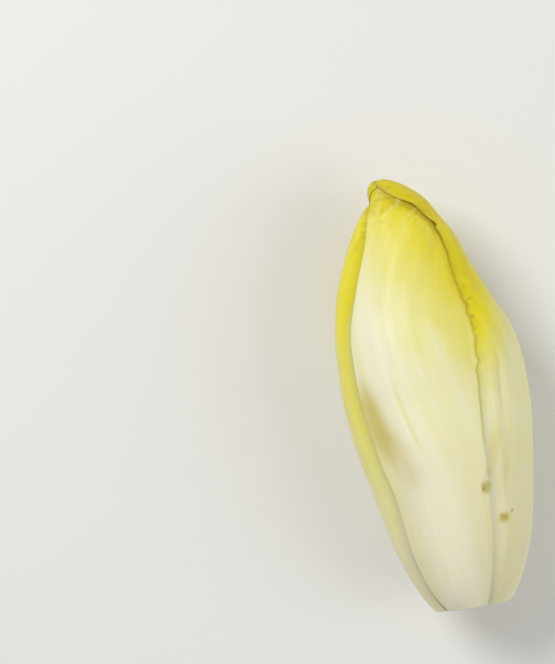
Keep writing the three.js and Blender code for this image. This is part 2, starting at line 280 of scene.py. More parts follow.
# Broad ridges run up beside the rib. They are drawn out along the leaf, and end at its margins and foot.
RIDGE_SPREAD = [(0, 0), (50, 0.35), (100, 0.6), (130, 1.0), (158, 1.6)]
RIDGE_SPACING = 4.6
RIDGE_DRAWN_OUT = 0.06
RIDGE_INSIDE = (0, 8)
RIDGE_STARTS = (0, 10)

# The pale flesh of the rib ends below the tip.
RIB_FADES = (92, 138)

# Marks on the leaves in front: the leaf, the mark's path (distance from the cut and angle), its half
# width and depth. A mark fades out over a share of its length at either end.
RUN_OUT = 0.42
MARKS = {
    # The hollow's dent is real; its darker colour is painted shade.
    "hollow": ("front", [(48, -45), (60, -47), (66, -49), (72, -51), (80, -53), (96, -58)], 8, 0.6),
    "low_shade": ("front", [(40, -28), (54, -34), (60, -37), (76, -43)], 6.5, 0),
    "groove": ("front", [(48, -13), (60, -19.5), (74, -24.3), (98, -31)], 1.0, 0.2),
    # The crease's dent is real; its darker colour is painted shade.
    "crease": ("right", [(60, 40.5), (75, 40), (87, 42.7), (98, 42)], 0.8, 0.08),
    # Painted shade down the right leaf; this mark has no dent.
    "tan": ("right", [(30, 30), (46, 31), (56, 33), (72, 38)], 6.5, 0),
}

# The darker line along the right leaf's front margin, its own deeper yellow with painted shadow of the gap
# under it: its width, and where along it comes in.
RIM_WIDTH = 1.3
RIM_STARTS = (46, 70)

# Wrinkles beside that margin: their size, where along they start, where they are highest and how far
# that reaches, and how wide and high they are at the least and how much more at the most.
WRINKLE_SPAN = 2.7
WRINKLES_START = (78, 96)
WRINKLES_MOST = (106, 11)
WRINKLES_WIDTH = (3, 7)
WRINKLES_HEIGHT = (0.4, 0.6)

# Near the tip that margin has small waves, drawn at this place, and stands off the leaf under it.
RUFFLE_PLACE = 31.0
RUFFLE_SPAN = 6.5
RUFFLE_WIDTH = 3.5
RUFFLE_STARTS = (124, 142)
FLAP_WIDTH = 9
FLAP_RISES = (116, 136)
FLAP_ENDS = (150, 157)

# The painted shadow on the front leaf beside the right leaf's margin: its width, and where along it comes in.
FLAP_SHADOW_WIDTH = 4.6
FLAP_SHADOW_STARTS = (84, 134)

# Bruises: angle round the head, distance from the cut, size and strength.
BRUISES = [
    (22.2, 43.4, 2.0, 0.34), (21.6, 41.4, 1.9, 0.34), (25.0, 47.5, 1.8, 0.2),
    (19.2, 43.4, 0.5, 0.5), (19.8, 42.2, 0.5, 0.55), (35.1, 30.6, 2.0, 0.5), (33.0, 31.2, 0.9, 0.2),
    (42.5, 32.3, 0.6, 0.85),
]

# The photo's frame: the head's base in it, how far the head leans in it and its scale.
PHOTO_SIZE = (555, 664)
BASE_PIXEL = (474, 605)
PHOTO_LEAN = 10.66
MM_PER_PIXEL = 0.362
SENSOR = 36.0

# Softboxes: place and width in metres. The floor's radius is in metres too.
KEY_PLACE = (-0.55, 0.65, 0.9)
KEY_WIDTH = 0.55
FILL_PLACE = (0.9, -0.3, 0.8)
FILL_WIDTH = 0.9
FLOOR_RADIUS = 4.0
FLOOR_CORNERS = 96


def linear(hex_colour):
    """An sRGB hex colour as linear red, green and blue."""
    shares = [int(hex_colour[i:i + 2], 16) / 255 for i in (0, 2, 4)]
    return tuple(s / 12.92 if s <= 0.04045 else ((s + 0.055) / 1.055) ** 2.4 for s in shares)


def colour_property(name, description, hex_colour):
    """A colour that a user can change, given as sRGB hex."""
    return FloatVectorProperty(
        name=name, description=description, subtype="COLOR", size=3, min=0, max=1, default=linear(hex_colour)
    )


def length_property(name, description, millimetres):
    """A length that a user can change, given in millimetres and kept in metres."""
    return FloatProperty(
        name=name, description=description, default=millimetres * MM, min=0, unit="LENGTH", precision=5
    )


class EndiveShape(PropertyGroup):
    """Sizes of the fine forms that the leaves get on top of their main form."""

    edge: length_property("Edge", "Thickness of a blade at its margin", 0.32)
    vein: length_property("Veins", "Height of the veins near the tip", 0.11)
    vein_spacing: length_property("Vein spacing", "Distance between veins near the tip", 3.3)
    ridge: length_property("Ridges", "Height of the broad ridges along a leaf", 0.14)
    ruffle: length_property("Ruffle", "Height of the small waves of a margin near the tip", 0.5)
    wrinkle: length_property("Wrinkles", "Height of the small wrinkles beside the flap's margin", 0.32)
    flap: length_property("Flap", "How far the right leaf's margin stands off near the tip", 0.3)
    dent: length_property("Dents", "Depth of the broad dents in the head", 0.35)


class EndiveDetail(PropertyGroup):
    """How finely the pieces are divided."""

    shown_across: IntProperty(name="Shown, across", description="Faces across a leaf that shows", default=150)
    shown_rows: IntProperty(name="Shown, along", description="Faces along a leaf that shows", default=250)
    hidden_across: IntProperty(name="Hidden, across", description="Faces across a leaf inside", default=48)
    hidden_rows: IntProperty(name="Hidden, along", description="Faces along a leaf inside", default=90)
    round_steps: IntProperty(name="Round", description="Faces round the core and the heart", default=144)


class EndiveColours(PropertyGroup):
    """Colours of the leaves, the cut and the floor."""

    rib: colour_property("Rib", "Fleshy white rib", "F3F0D6")
    cream: colour_property("Cream", "Blade where it is palest", "F1EDC4")
    pale: colour_property("Pale yellow", "Blade half way up", "EAE184")
    bright: colour_property("Bright yellow", "Blade near the margins and the tip", "EBDB1C")
    deep: colour_property("Deep yellow", "Blade at the tip", "DDC80C")
    # Painted shade: the blade near the cut darker and greyer, where the head is lit less.
    base: colour_property("Base", "Blade near the cut", "E2DAAA")
    # Painted shade in the right leaf's crease; also mottles at the tips and the skin round a bruise.
    olive: colour_property("Olive", "Creases and the skin round a bruise", "A8962A")
    # Painted shade in the hollow beside the rib, low on the front leaf and under the right leaf's front
    # margin; also that margin's own deeper yellow and the skin round a bruise.
    shade: colour_property("Shaded yellow", "Blade in the hollow beside the rib", "C5B12A")
    # Painted shadow under and along the right leaf's front margin and in its wrinkles, and painted shade down
    # the right leaf.
    ochre_shade: colour_property("Ochre", "Blade under a margin, and the browned rim of a margin", "B88A12")
    cut: colour_property("Cut flesh", "Fresh flesh of the cut core", "F0E9D2")
    rust: colour_property("Rust", "Cut flesh that browned in the air", "9A6B38")
    dark: colour_property("Dark bruise", "Skin in the middle of a bruise", "5A4A1E")
    floor: colour_property("Floor", "Pale floor", "E8E7E3")


class EndiveStudio(PropertyGroup):
    """Camera and lights."""

    camera_height: FloatProperty(
        name="Camera height", description="Camera above the head's middle", default=1.2, unit="LENGTH"
    )
    key: FloatProperty(name="Key light", description="Softbox past the tip", default=8.5, unit="POWER")
    fill: FloatProperty(name="Fill light", description="Wide softbox on the right", default=4.7, unit="POWER")
    sky: FloatProperty(name="Room light", description="Strength of the even light of the room", default=0.41)


def curve_through(rows, column=1):
    """A smooth curve through rows of place and value, level with its ends outside them."""
    place = np.array([row[0] for row in rows], float)
    value = np.array([row[column] for row in rows], float)
    last = len(rows) - 1
    before = np.maximum(np.arange(last + 1) - 1, 0)
    after = np.minimum(np.arange(last + 1) + 1, last)
    slope = (value[after] - value[before]) / (place[after] - place[before])

    def at(where):
        x = np.clip(where, place[0], place[-1])
        i = np.clip(np.searchsorted(place, x) - 1, 0, last - 1)
        width = place[i + 1] - place[i]
        t = (x - place[i]) / width
        u = 1 - t
        start = value[i] * (1 + 2 * t) + slope[i] * width * t
        end = value[i + 1] * (3 - 2 * t) - slope[i + 1] * width * u
        return start * u * u + end * t * t

    return at


def smooth_step(value, start, end):
    """0 before start, 1 past end and a smooth rise between them."""
    t = np.clip((value - start) / (end - start), 0, 1)
    return t * t * (3 - 2 * t)


def fade(value, end):
    """1 up to 0 and a smooth fall to 0 at end."""
    return 1 - smooth_step(value, 0, end)


def swell(seed, points, span, waves=9):
    """Smooth unevenness of about -1 to 1, in bumps about span millimetres wide."""
    draw = np.random.default_rng(seed)
    total = 0
    for _ in range(waves):
        direction = draw.normal(size=3)
        direction /= np.linalg.norm(direction) * span * draw.uniform(0.7, 1.5)
        total = total + np.sin(2 * np.pi * (points @ direction + draw.uniform()))
    return total / math.sqrt(waves)


middle_line = curve_through(SKIN)
half_width_squared = curve_through([(along, half * half) for along, _, half in SKIN])
roundness = curve_through(ROUNDNESS)
rib_extra = curve_through(RIB_EXTRA)
blade_thickness = curve_through(BLADE_THICKNESS)
rib_half_width = curve_through(RIB_HALF_WIDTH)
core_radius = curve_through(CORE_RADIUS)
vein_spread = curve_through(VEIN_SPREAD)
ridge_spread = curve_through(RIDGE_SPREAD)


def half_width(along):
    """Half the head's width at a distance from the cut."""
    return np.sqrt(np.maximum(half_width_squared(along), 0))


SPINE_HEIGHT = float(half_width(LOWEST_PLACE) * roundness(LOWEST_PLACE)) - FLAT_SPOT_DEPTH


def spine_point(along):
    """The point on the head's spine that a place on the skin looks at."""
    along = np.asarray(along, float)
    past = np.maximum(along - BUD_START, 0)
    y = np.minimum(along, BUD_START) + BUD_ROUNDING * (1 - np.exp(-past / BUD_ROUNDING))
    return np.stack([middle_line(y), y, np.full_like(y, SPINE_HEIGHT)], axis=-1)


def skin_ray(angle, along):
    """The way from the spine to the skin, cut short by the surface that the head lies on."""
    turn = np.radians(angle)
    half = half_width(along)
    across = middle_line(along) + half * np.sin(turn)
    up = SPINE_HEIGHT + half * roundness(along) * np.cos(turn)
    ray = np.stack([across, along, up], axis=-1) - spine_point(along)
    down = np.minimum(ray[..., 2], -1e-9)
    shorten = np.where(ray[..., 2] < -SPINE_HEIGHT, -SPINE_HEIGHT / down, 1)
    return ray * shorten[..., None]


def body_point(angle, along, depth):
    """A point of the head by angle, distance along and depth under its skin, pressed flat where it rests."""
    ray = skin_ray(angle, along)
    length = np.linalg.norm(ray, axis=-1)
    point = spine_point(along) + ray * ((length - depth) / length)[..., None]
    down = np.minimum(ray[..., 2], -1e-9)
    back = np.where(point[..., 2] < 0, -point[..., 2] / down, 0)
    return point + ray * back[..., None]


def turn_to(angle, middle):
    """The turn from middle to angle, from -180 to 180 degrees."""
    return (angle - middle + 180) % 360 - 180


def arc_length(degrees, along):
    """Millimetres round the head of a turn at a distance from the cut."""
    return np.radians(degrees) * half_width(along)


def arc_from(middle, angle, along):
    """Millimetres round the head from middle to angle, the shorter way."""
    return arc_length(turn_to(angle, middle), along)


class Leaf:
    """One leaf: its place in the order from the outside, the values of its plan and build, and its curves."""

    def __init__(self, order, plan, build):
        self.order = order
        vars(self).update(plan)
        vars(self).update(build)
        self.midrib = curve_through(plan["midrib"])
        self.low = curve_through(plan["margins"], 1)
        self.high = curve_through(plan["margins"], 2)
        self.edge = curve_through(plan["edge"])

    def growth(self, along):
        """0 at the foot and 1 at the tip."""
        return np.clip((along - self.foot) / (self.tip - self.foot), 0, 1)

    def from_rib(self, angle, along):
        """Millimetres round the head from the midrib, negative on the low side."""
        return arc_from(self.midrib(along), angle, along)

    def rib_shape(self, angle, along):
        """1 on the rib's middle line, falling to nothing at its sides."""
        width = rib_half_width(self.growth(along)) * self.rib_widening
        return np.exp(-((self.from_rib(angle, along) / width) ** 2))

    def thickness(self, angle, along):
        """Thickness of the leaf, with its rib."""
        grown = self.growth(along)
        return blade_thickness(grown) + self.rib_share * rib_extra(grown) * self.rib_shape(angle, along)

    def gap_under(self, along):
        """Air between this leaf and what lies inside it."""
        return self.foot_gap + (self.gap - self.foot_gap) * smooth_step(along, 0, FOOT_GAP_END)

    def past_margin(self, angle, along):
        """Millimetres round the head past the nearer margin, negative between the margins."""
        low = self.low(along)
        high = self.high(along)
        turned = np.abs(turn_to(angle, (low + high) / 2)) - (high - low) / 2
        return arc_length(turned, along)

    def cover(self, angle, along):
        """How much the leaf presses on what lies inside it: all of it inside its margins, less past them."""
        past = np.maximum(self.past_margin(angle, along) - CLEAR_PAST_MARGIN, 0)
        beside = past / (self.rise * (1 + (RISE_AT_TIP - 1) * smooth_step(along, *RISE_SHORTENS)))
        above = np.maximum(along - self.tip, 0) / self.tip_rise
        below = np.maximum(self.foot - along, 0) / LEDGE_UNDER_FOOT
        return fade(np.sqrt(beside**2 + above**2 + below**2), 1)


def hidden_plan(index):
    """A leaf inside the head, by its place on the spiral."""
    foot = FIRST_HIDDEN_FOOT + FOOT_STEP * index
    tip = FIRST_HIDDEN_TIP + TIP_STEPS[index]
    middle = FIRST_HIDDEN_ANGLE - SPIRAL_STEP * index
    return {
        **PLAIN_LEAF,
        "name": f"leaf_{index + 4:02d}",
        "foot": foot,
        "tip": tip,
        "midrib": [(foot, middle), (tip, middle)],
        "margins": [
            (foot + (tip - foot) * share, middle - turn, middle + turn) for share, turn in HIDDEN_SPREAD
        ],
        "yellow_from": HIDDEN_YELLOW,
        "yellow_over": HIDDEN_YELLOW_OVER,
        "yellow_share": HIDDEN_YELLOW_SHARE,
    }


PLANS = [(plan, SHOWN_BUILD) for plan in (LEFT_LEAF, RIGHT_LEAF, FRONT_LEAF)]
PLANS += [(hidden_plan(index), HIDDEN_BUILD) for index in range(HIDDEN_LEAVES)]
LEAVES = [Leaf(order, plan, build) for order, (plan, build) in enumerate(PLANS)]
LEFT, RIGHT, FRONT = SHOWN_LEAVES = LEAVES[:3]
INSIDE_LEAVES = LEAVES[3:]


def depth_under(count, angle, along):
    """Depth of the layer under the first leaves, counted from the outside."""
    depth = np.zeros(np.broadcast(angle, along).shape)
    for leaf in LEAVES[:count]:
        depth += (leaf.thickness(angle, along) + leaf.gap_under(along)) * leaf.cover(angle, along)
    return depth


def freedom(leaf, angle, along):
    """1 where no leaf outside this one lies on it, and 0 where one does."""
    free = np.ones(np.broadcast(angle, along).shape)
    for outer in LEAVES[:leaf.order]:
        free *= 1 - outer.cover(angle, along)
    return free


def bareness(leaf, angle, along):
    """1 where no leaf lies on this one, and 0 under the margin of one that does and just beside it."""
    bare = np.ones(np.broadcast(angle, along).shape)
    for outer in LEAVES[:leaf.order]:
        beside = 1 - smooth_step(outer.past_margin(angle, along), *BARE_FROM)
        bare *= 1 - beside * (1 - smooth_step(along, outer.tip, outer.tip + BARE_PAST_TIP))
    return bare


def main_relief(leaf, angle, along, to_margin):
    """The rib's crest and the lift of the margins, as the solids have them."""
    crest = CREST_HEIGHT * (1 - leaf.growth(along)) * leaf.rib_shape(angle, along)
    edge = fade(to_margin, MARGIN_LIFT_WIDTH)
    wave = MARGIN_WAVE * np.sin(2 * np.pi * along / MARGIN_WAVE_LENGTH)
    rising = smooth_step(along, MARGIN_LIFT_START, MARGIN_LIFT_END)
    ending = 1 - smooth_step(along, MARGIN_LIFT_END, LENGTH)
    return crest + leaf.lift * rising * ending * (MARGIN_LIFT + wave) * edge


def vein_phase(leaf, angle, along, spacing):
    """A number that grows by one from each vein to the next, away from the rib. The veins wander a little."""
    start = spacing / math.exp(vein_spread(VEIN_SPREAD_PLACE))
    wander = VEIN_WANDER * swell(SEEDS["vein"] + leaf.order, body_point(angle, along, 0), VEIN_BEND, waves=5)
    return leaf.from_rib(angle, along) * np.exp(-vein_spread(along)) / start + wander


def vein_crest(phase):
    """1 on a vein and 0 between two, each vein of its own strength."""
    number = np.round(phase)
    from_vein = (phase - number) / VEIN_HALF_WIDTH
    return np.exp(-(from_vein**2)) * (VEIN_STRENGTH + (1 - VEIN_STRENGTH) * np.sin(number * VEIN_DRAW))


def broad_ridges(leaf, angle, along):
    """Low broad ridges that run up the leaf beside the rib."""
    away = leaf.from_rib(angle, along) * np.exp(-ridge_spread(along))
    points = np.stack([away, along * RIDGE_DRAWN_OUT, np.zeros_like(along)], axis=-1)
    return swell(SEEDS["ridge"] + leaf.order, points, RIDGE_SPACING, waves=7)


def stroke(path, width, angle, along):
    """1 along a mark's path, falling to nothing at its sides and ends."""
    start = path[0][0]
    end = path[-1][0]
    run_out = (end - start) * RUN_OUT
    beside = arc_from(curve_through(path)(along), angle, along) / width
    length = smooth_step(along, start, start + run_out) * (1 - smooth_step(along, end - run_out, end))
    return np.exp(-(beside**2)) * length


def dents(angle, along, depth):
    """How far the head's skin is pushed in, alike for all its layers."""
    return depth * (0.5 + 0.5 * swell(SEEDS["dent"], body_point(angle, along, 0), DENT_SPAN))


def bruising(angle, along):
    """1 on a bruise and 0 off it."""
    total = 0
    for turn, place, size, strength in BRUISES:
        distance = np.hypot(arc_from(turn, angle, along), along - place)
        total = total + strength * np.exp(-((distance / size) ** 2))
    return np.minimum(total, 1)


def row_place(share, crowding=0.5):
    """Rows come closer together towards both ends, where a leaf bends most."""
    return share * (1 - crowding) + crowding * (1 - np.cos(np.pi * share)) / 2


def flap_kinks(along):
    """How far the front margin of the right leaf turns away from its smooth line."""
    return sum(degrees * np.exp(-(((along - place) / length) ** 2)) for place, degrees, length in FLAP_KINKS)


def leaf_grid(leaf, across, rows):
    """Angles and distances along of a leaf's grid of points, and their distances from either margin."""
    end = LENGTH - TIP_CLOSED if leaf is RIGHT else leaf.tip
    along = leaf.foot + (end - leaf.foot) * row_place(np.linspace(0, 1, rows + 1))
    along, column = np.meshgrid(along, np.linspace(0, 1, across + 1), indexing="ij")
    low = leaf.low(along)
    high = leaf.high(along)
    if leaf is RIGHT:
        low += flap_kinks(along)
    angle = low + (high - low) * column
    return angle, along, arc_length(angle - low, along), arc_length(high - angle, along)


def yellowing(leaf, angle, along):
    """How yellow the blade is: 0 for cream, 1 for the deepest yellow."""
    low = leaf.low(along)
    high = leaf.high(along)
    rib = leaf.midrib(along)
    to_high = (angle - rib) / np.maximum(high - rib, 1)
    to_low = (rib - angle) / np.maximum(rib - low, 1)
    start = leaf.yellow_from
    margin_start = np.where(angle > rib, start["high"], start["low"])
    side = np.clip(np.where(angle > rib, to_high, to_low), 0, 1)
    first = start["rib"] + (margin_start - start["rib"]) * side
    least, most = leaf.yellow_share
    rise = least + (most - least) * smooth_step(along, first, first + leaf.yellow_over)
    beside = fade(arc_length(high - angle, along), MARGIN_PALE_WIDTH)
    place, reach = MARGIN_PALE_PLACE
    paling = leaf.margin_pale * beside * np.exp(-(((along - place) / reach) ** 2))
    deepening = TIP_YELLOW * smooth_step(along, *TIP_YELLOW_PLACE) * (most - rise) / (most - least)
    return (rise - paling) * smooth_step(along, *YELLOW_FADES) + deepening


def settling_reach(along):
    """Width over which a margin settles."""
    return np.minimum(MARGIN_SETTLING, SETTLING_SHARE * half_width(along) + SETTLING_MORE)


def settling(leaf, along, to_low, to_high, bare):
    """How far a margin settles: 1 at the margin, 0 further in and where a leaf lies on it."""
    reach = settling_reach(along)
    low_side = fade(to_low / reach, 1) * bare
    high_side = fade(to_high / reach, 1) * np.maximum(bare, leaf.high_settles)
    return np.maximum(low_side, high_side)


def step_down(angle, along):
    """How much deeper the surface under the left leaf lies where the right leaf's margin ends under it."""
    room = (RIGHT.thickness(angle, along) + RIGHT.gap_under(along)) * RIGHT.cover(angle, along)
    past = RIGHT.past_margin(angle, along)
    before = smooth_step(past, -settling_reach(along), 0) * STEP_BEFORE
    return room * (before + smooth_step(past, 0, STEP_DOWN) * (1 - STEP_BEFORE))


def section(leaf, angle, along, to_low, to_high, edge):
    """Depth of the leaf's outer face without its relief, and its thickness, thin at settled margins."""
    share = leaf.edge(along)
    solid = leaf.thickness(angle, along)
    room = solid + leaf.gap_under(along)
    thinning = fade(np.minimum(to_low, to_high), MARGIN_SETTLING)
    thickness = solid + (edge * share - solid) * thinning
    down = settling(leaf, along, to_low, to_high, bareness(leaf, angle, along))
    settled = (room - thickness - MARGIN_REST * share) * down
    if leaf is LEFT:
        settled += step_down(angle, along) * down
    filling = fade(along, CUT_FILLING)
    thickness += (room - CUT_AIR - settled - thickness) * filling
    return depth_under(leaf.order, angle, along) + settled, thickness


def flap_band(angle, along):
    """Where shadow is painted on the front leaf: 1 at the right leaf's margin, falling to nothing at the
    band's width.
    """
    away = np.abs(arc_from(RIGHT.low(along), angle, along))
    return fade(away, FLAP_SHADOW_WIDTH) * smooth_step(along, *FLAP_SHADOW_STARTS)


def leaf_surfaces(leaf, across, rows, shape):
    """Outer and inner face of a leaf, and what its material has to know at each point."""
    angle, along, to_low, to_high = leaf_grid(leaf, across, rows)
    to_margin = np.minimum(to_low, to_high)
    bare = bareness(leaf, angle, along)
    lies, thickness = section(leaf, angle, along, to_low, to_high, shape.edge / MM)
    from_rib = leaf.from_rib(angle, along)
    phase = vein_phase(leaf, angle, along, shape.vein_spacing / MM)
    weaker = (1 - VEINS_KEPT) * smooth_step(np.abs(from_rib), *VEINS_END)
    veined = smooth_step(along, *VEINS_SHOW) * (1 - weaker)
    veined = veined * smooth_step(to_margin, *VEINS_INSIDE) * leaf.veining
    relief = main_relief(leaf, angle, along, to_margin) * freedom(leaf, angle, along)
    fine = 0 * along
    if leaf.shown:
        ends = smooth_step(to_margin, *RIDGE_INSIDE) * smooth_step(along, *RIDGE_STARTS)
        fine += vein_crest(phase) * veined * shape.vein / MM
        fine += broad_ridges(leaf, angle, along) * ends * shape.ridge / MM
    marks = dict.fromkeys(LEAF_MARKS, 0 * along)
    for mark, (marked, path, width, depth) in MARKS.items():
        if leaf.name.endswith(marked):
            marks[mark] = stroke(path, width, angle, along)
            fine -= depth * marks[mark]
    if leaf is RIGHT:
        wrinkled = wrinkles(angle, along, to_low)
        fine += wrinkled * shape.wrinkle / MM
        fine += ruffle(along, to_margin) * shape.ruffle / MM
        fine += flap_lift(along, to_low) * shape.flap / MM
        # Painted shade in the troughs of these wrinkles.
        marks["fold"] = np.maximum(-wrinkled, 0)
        # The margin's own deeper yellow, with painted shadow of the gap under the margin.
        marks["rim"] = fade(to_low, RIM_WIDTH) * smooth_step(along, *RIM_STARTS)
    if leaf is FRONT:
        # Painted shadow of the right leaf's margin on the front leaf.
        marks["flap_band"] = flap_band(angle, along)
    lies = lies + dents(angle, along, shape.dent / MM) - relief - fine * bare
    outer = body_point(angle, along, lies)
    inner = body_point(angle, along, lies + thickness)
    facts = {
        "yellow": yellowing(leaf, angle, along),
        "rib": leaf.rib_shape(angle, along) * (1 - smooth_step(along, *RIB_FADES)),
        "vein_phase": phase,
        "veined": veined,
        "tip": smooth_step(along, leaf.tip - TIP_REACH[0], leaf.tip - TIP_REACH[1]),
        "bruise": bruising(angle, along) * leaf.shown,
        "cut": np.where(along > leaf.foot, 0.0, 1.0),
        "away": from_rib * MM,
        "along": along * MM,
        **marks,
    }
    return outer, inner, facts


def ruffle(along, to_margin):
    """Small waves along a margin near the tip."""
    points = np.stack([along, np.full_like(along, RUFFLE_PLACE), np.zeros_like(along)], axis=-1)
    wave = 0.5 + 0.5 * swell(SEEDS["ruffle"], points, RUFFLE_SPAN, waves=5)
    return wave * fade(to_margin, RUFFLE_WIDTH) * smooth_step(along, *RUFFLE_STARTS)


def wrinkles(angle, along, to_low):
    """Small wrinkles of the right leaf beside its front margin, highest where it bends most."""
    place, reach = WRINKLES_MOST
    most = np.exp(-(((along - place) / reach) ** 2))
    width = WRINKLES_WIDTH[0] + WRINKLES_WIDTH[1] * most
    beside = fade(to_low, width) * smooth_step(to_low, 0, 1)
    height = (WRINKLES_HEIGHT[0] + WRINKLES_HEIGHT[1] * most) * beside * smooth_step(along, *WRINKLES_START)
    return swell(SEEDS["wrinkle"], body_point(angle, along, 0), WRINKLE_SPAN, waves=7) * height


def flap_lift(along, to_low):
    """The right leaf's front margin stands off the leaf under it near the tip."""
    place = smooth_step(along, *FLAP_RISES) * (1 - smooth_step(along, *FLAP_ENDS))
    return place * fade(to_low, FLAP_WIDTH)


def head_place():
    """Where the head's own frame lies in the row frame, in millimetres, worked out from the frame."""
    along = np.linspace(0, LENGTH, 400)
    right = np.max(middle_line(along) + half_width(along))
    left = np.min(middle_line(along) - half_width(along))
    low, high = CAD_BOX
    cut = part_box("core")[0].y
    return np.array([(low.x + high.x) / 2 / MM - (left + right) / 2, cut / MM, low.z / MM])


PLACE = head_place()


def shell_faces(rows, columns):
    """Faces of a closed shell from rings of points: the outer face, a rounded margin, the inner face back."""
    ring = 2 * columns + 2
    at = np.arange(rows * ring).reshape(rows, ring)
    ahead = np.roll(at, -1, axis=1)
    sides = np.stack([at[:-1], ahead[:-1], ahead[1:], at[1:]], axis=-1).reshape(-1, 4)
    faces = sides.tolist()
    inner = 2 * columns - np.arange(columns)
    for row, turned in ((0, True), (rows - 1, False)):
        outer_row = at[row, :columns]
        inner_row = at[row, inner]
        cap = [[outer_row[i], outer_row[i + 1], inner_row[i + 1], inner_row[i]] for i in range(columns - 1)]
        cap.append([outer_row[-1], at[row, columns], inner_row[-1]])
        cap.append([inner_row[0], at[row, ring - 1], outer_row[0]])
        faces += [face[::-1] if turned else face for face in cap]
    return [[int(corner) for corner in face] for face in faces]


def shell_points(outer, inner):
    """Rings of points round a leaf's section, with one point that rounds each margin."""
    middle_low = (outer[:, :1] + inner[:, :1]) / 2
    middle_high = (outer[:, -1:] + inner[:, -1:]) / 2
    bulge_low = rounding(outer, inner, 0, 1)
    bulge_high = rounding(outer, inner, -1, -2)
    return np.concatenate([outer, middle_high + bulge_high, inner[:, ::-1], middle_low + bulge_low], axis=1)


def rounding(outer, inner, edge, beside):
    """How far the rounded margin stands out past the edge: half the blade's thickness."""
    way = outer[:, edge] - outer[:, beside]
    way = way / np.maximum(np.linalg.norm(way, axis=-1, keepdims=True), 1e-6)
    half = np.linalg.norm(outer[:, edge] - inner[:, edge], axis=-1, keepdims=True) / 2
    return (way * half)[:, None]


def ring_fact(values):
    """A fact of the outer face, repeated for the rounded margins and the inner face."""
    return np.concatenate([values, values[:, -1:], values[:, ::-1], values[:, :1]], axis=1)


def add_object(name, data):
    """Adds an object to the scene."""
    made = bpy.data.objects.new(name, data)
    bpy.context.scene.collection.objects.link(made)
    return made


def add_mesh(name, places, faces, material):
    """Adds a mesh of points in metres to the scene, in one material."""
    mesh = bpy.data.meshes.new(name)
    mesh.from_pydata(places.tolist(), [], faces)
    mesh.materials.append(material)
    return add_object(name, mesh)


def make_piece(name, points, faces, facts, material, nodes):
    """A finer piece that stands for CAD nodes, rides with the head and is smooth but for its corners."""
    piece = add_mesh(name, (points.reshape(-1, 3) + PLACE) * MM, faces, material)
    mesh = piece.data
    mesh.update()
    mesh.shade_smooth()
    for fact, values in facts.items():
        layer = mesh.attributes.new(fact, "FLOAT", "POINT")
        layer.data.foreach_set("value", np.ascontiguousarray(values, np.float32).ravel())
    mesh.set_sharp_from_angle(angle=math.radians(SHARP_CORNER))
    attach(piece, "root")
    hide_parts(*nodes)


def make_leaf(leaf, settings, material):
    """Grows one leaf in place of its CAD node."""
    detail = settings.detail
    if leaf.shown:
        slot, across, rows = "outer_leaf", detail.shown_across, detail.shown_rows
    else:
        slot, across, rows = "inner_leaf", detail.hidden_across, detail.hidden_rows
    outer, inner, facts = leaf_surfaces(leaf, across, rows, settings.shape)
    facts = {name: ring_fact(values) for name, values in facts.items()}
    points = shell_points(outer, inner)
    faces = shell_faces(rows + 1, across + 1)
    make_piece(leaf.name + "_grown", points, faces, facts, material, [leaf.name])


def ring_faces(rings, around):
    """Faces of a closed body from rings of points between a start point and an end point."""
    faces = []
    last = 1 + rings * around
    for step in range(around):
        ahead = (step + 1) % around
        faces.append([0, 1 + ahead, 1 + step])
        for ring in range(rings - 1):
            low = 1 + ring * around
            high = low + around
            faces.append([low + step, low + ahead, high + ahead, high + step])
        faces.append([last - around + step, last - around + ahead, last])
    return faces


def closed(start, rings, end):
    """Points of a closed body, or values at them: at its start, on its rings in order and at its end."""
    return np.concatenate([[start], rings.reshape(-1, *np.shape(start)), [end]])


def depth_of_core(angle, along, shape):
    """Depth of the core's side. At the cut, the core fills the room inside the feet round it."""
    at_cut = np.zeros(np.broadcast(angle, along).shape)
    for leaf in SHOWN_LEAVES:
        to_low = arc_from(leaf.low(along), angle, along)
        to_high = -arc_from(leaf.high(along), angle, along)
        depth, thickness = section(leaf, angle, along, to_low, to_high, shape.edge / MM)
        crest = main_relief(leaf, angle, along, MARGIN_LIFT_WIDTH) * freedom(leaf, angle, along)
        under = depth + thickness - crest + CORE_REST
        past = leaf.past_margin(angle, along)
        at_cut = np.maximum(at_cut, under * (1 - smooth_step(past, CORE_CLEAR, CORE_CLEAR + CORE_FILLING)))
    above_cut = depth_under(len(LEAVES), angle, along)
    return at_cut + (above_cut - at_cut) * smooth_step(along, 0, FIRST_HIDDEN_FOOT)


def core_rings(around, shape):
    """Rings of the core: over the cut face from its middle outwards, then up the cone."""
    angle = np.arange(around) * 360 / around
    face_shares = np.linspace(*CUT_SHARES)
    first, (start, rows) = CONE_ROWS
    cone = np.concatenate([first, np.linspace(start, CORE_TOP, rows)])
    along = np.concatenate([np.zeros_like(face_shares), cone])
    shares = np.concatenate([face_shares, [CUT_CORNER], np.ones(len(cone) - 1)])
    angle, along = np.meshgrid(angle, along, indexing="xy")
    skin = np.linalg.norm(skin_ray(angle, along), axis=-1)
    side = np.minimum(core_radius(along), skin - depth_of_core(angle, along, shape))
    radius = side * shares[:, None]
    on_cut = np.concatenate([np.ones_like(face_shares), np.zeros_like(cone)])[:, None]
    points = body_point(angle, along, skin - radius)
    rough = CUT_ROUGHNESS * swell(SEEDS["cut"], points, CUT_LUMPS)
    points[..., 1] += on_cut * (CUT_DISH * (1 - shares[:, None] ** 2) + rough * shares[:, None])
    cut = on_cut + (1 - on_cut) * fade(along, CUT_ENDS)
    return points, cut, radius


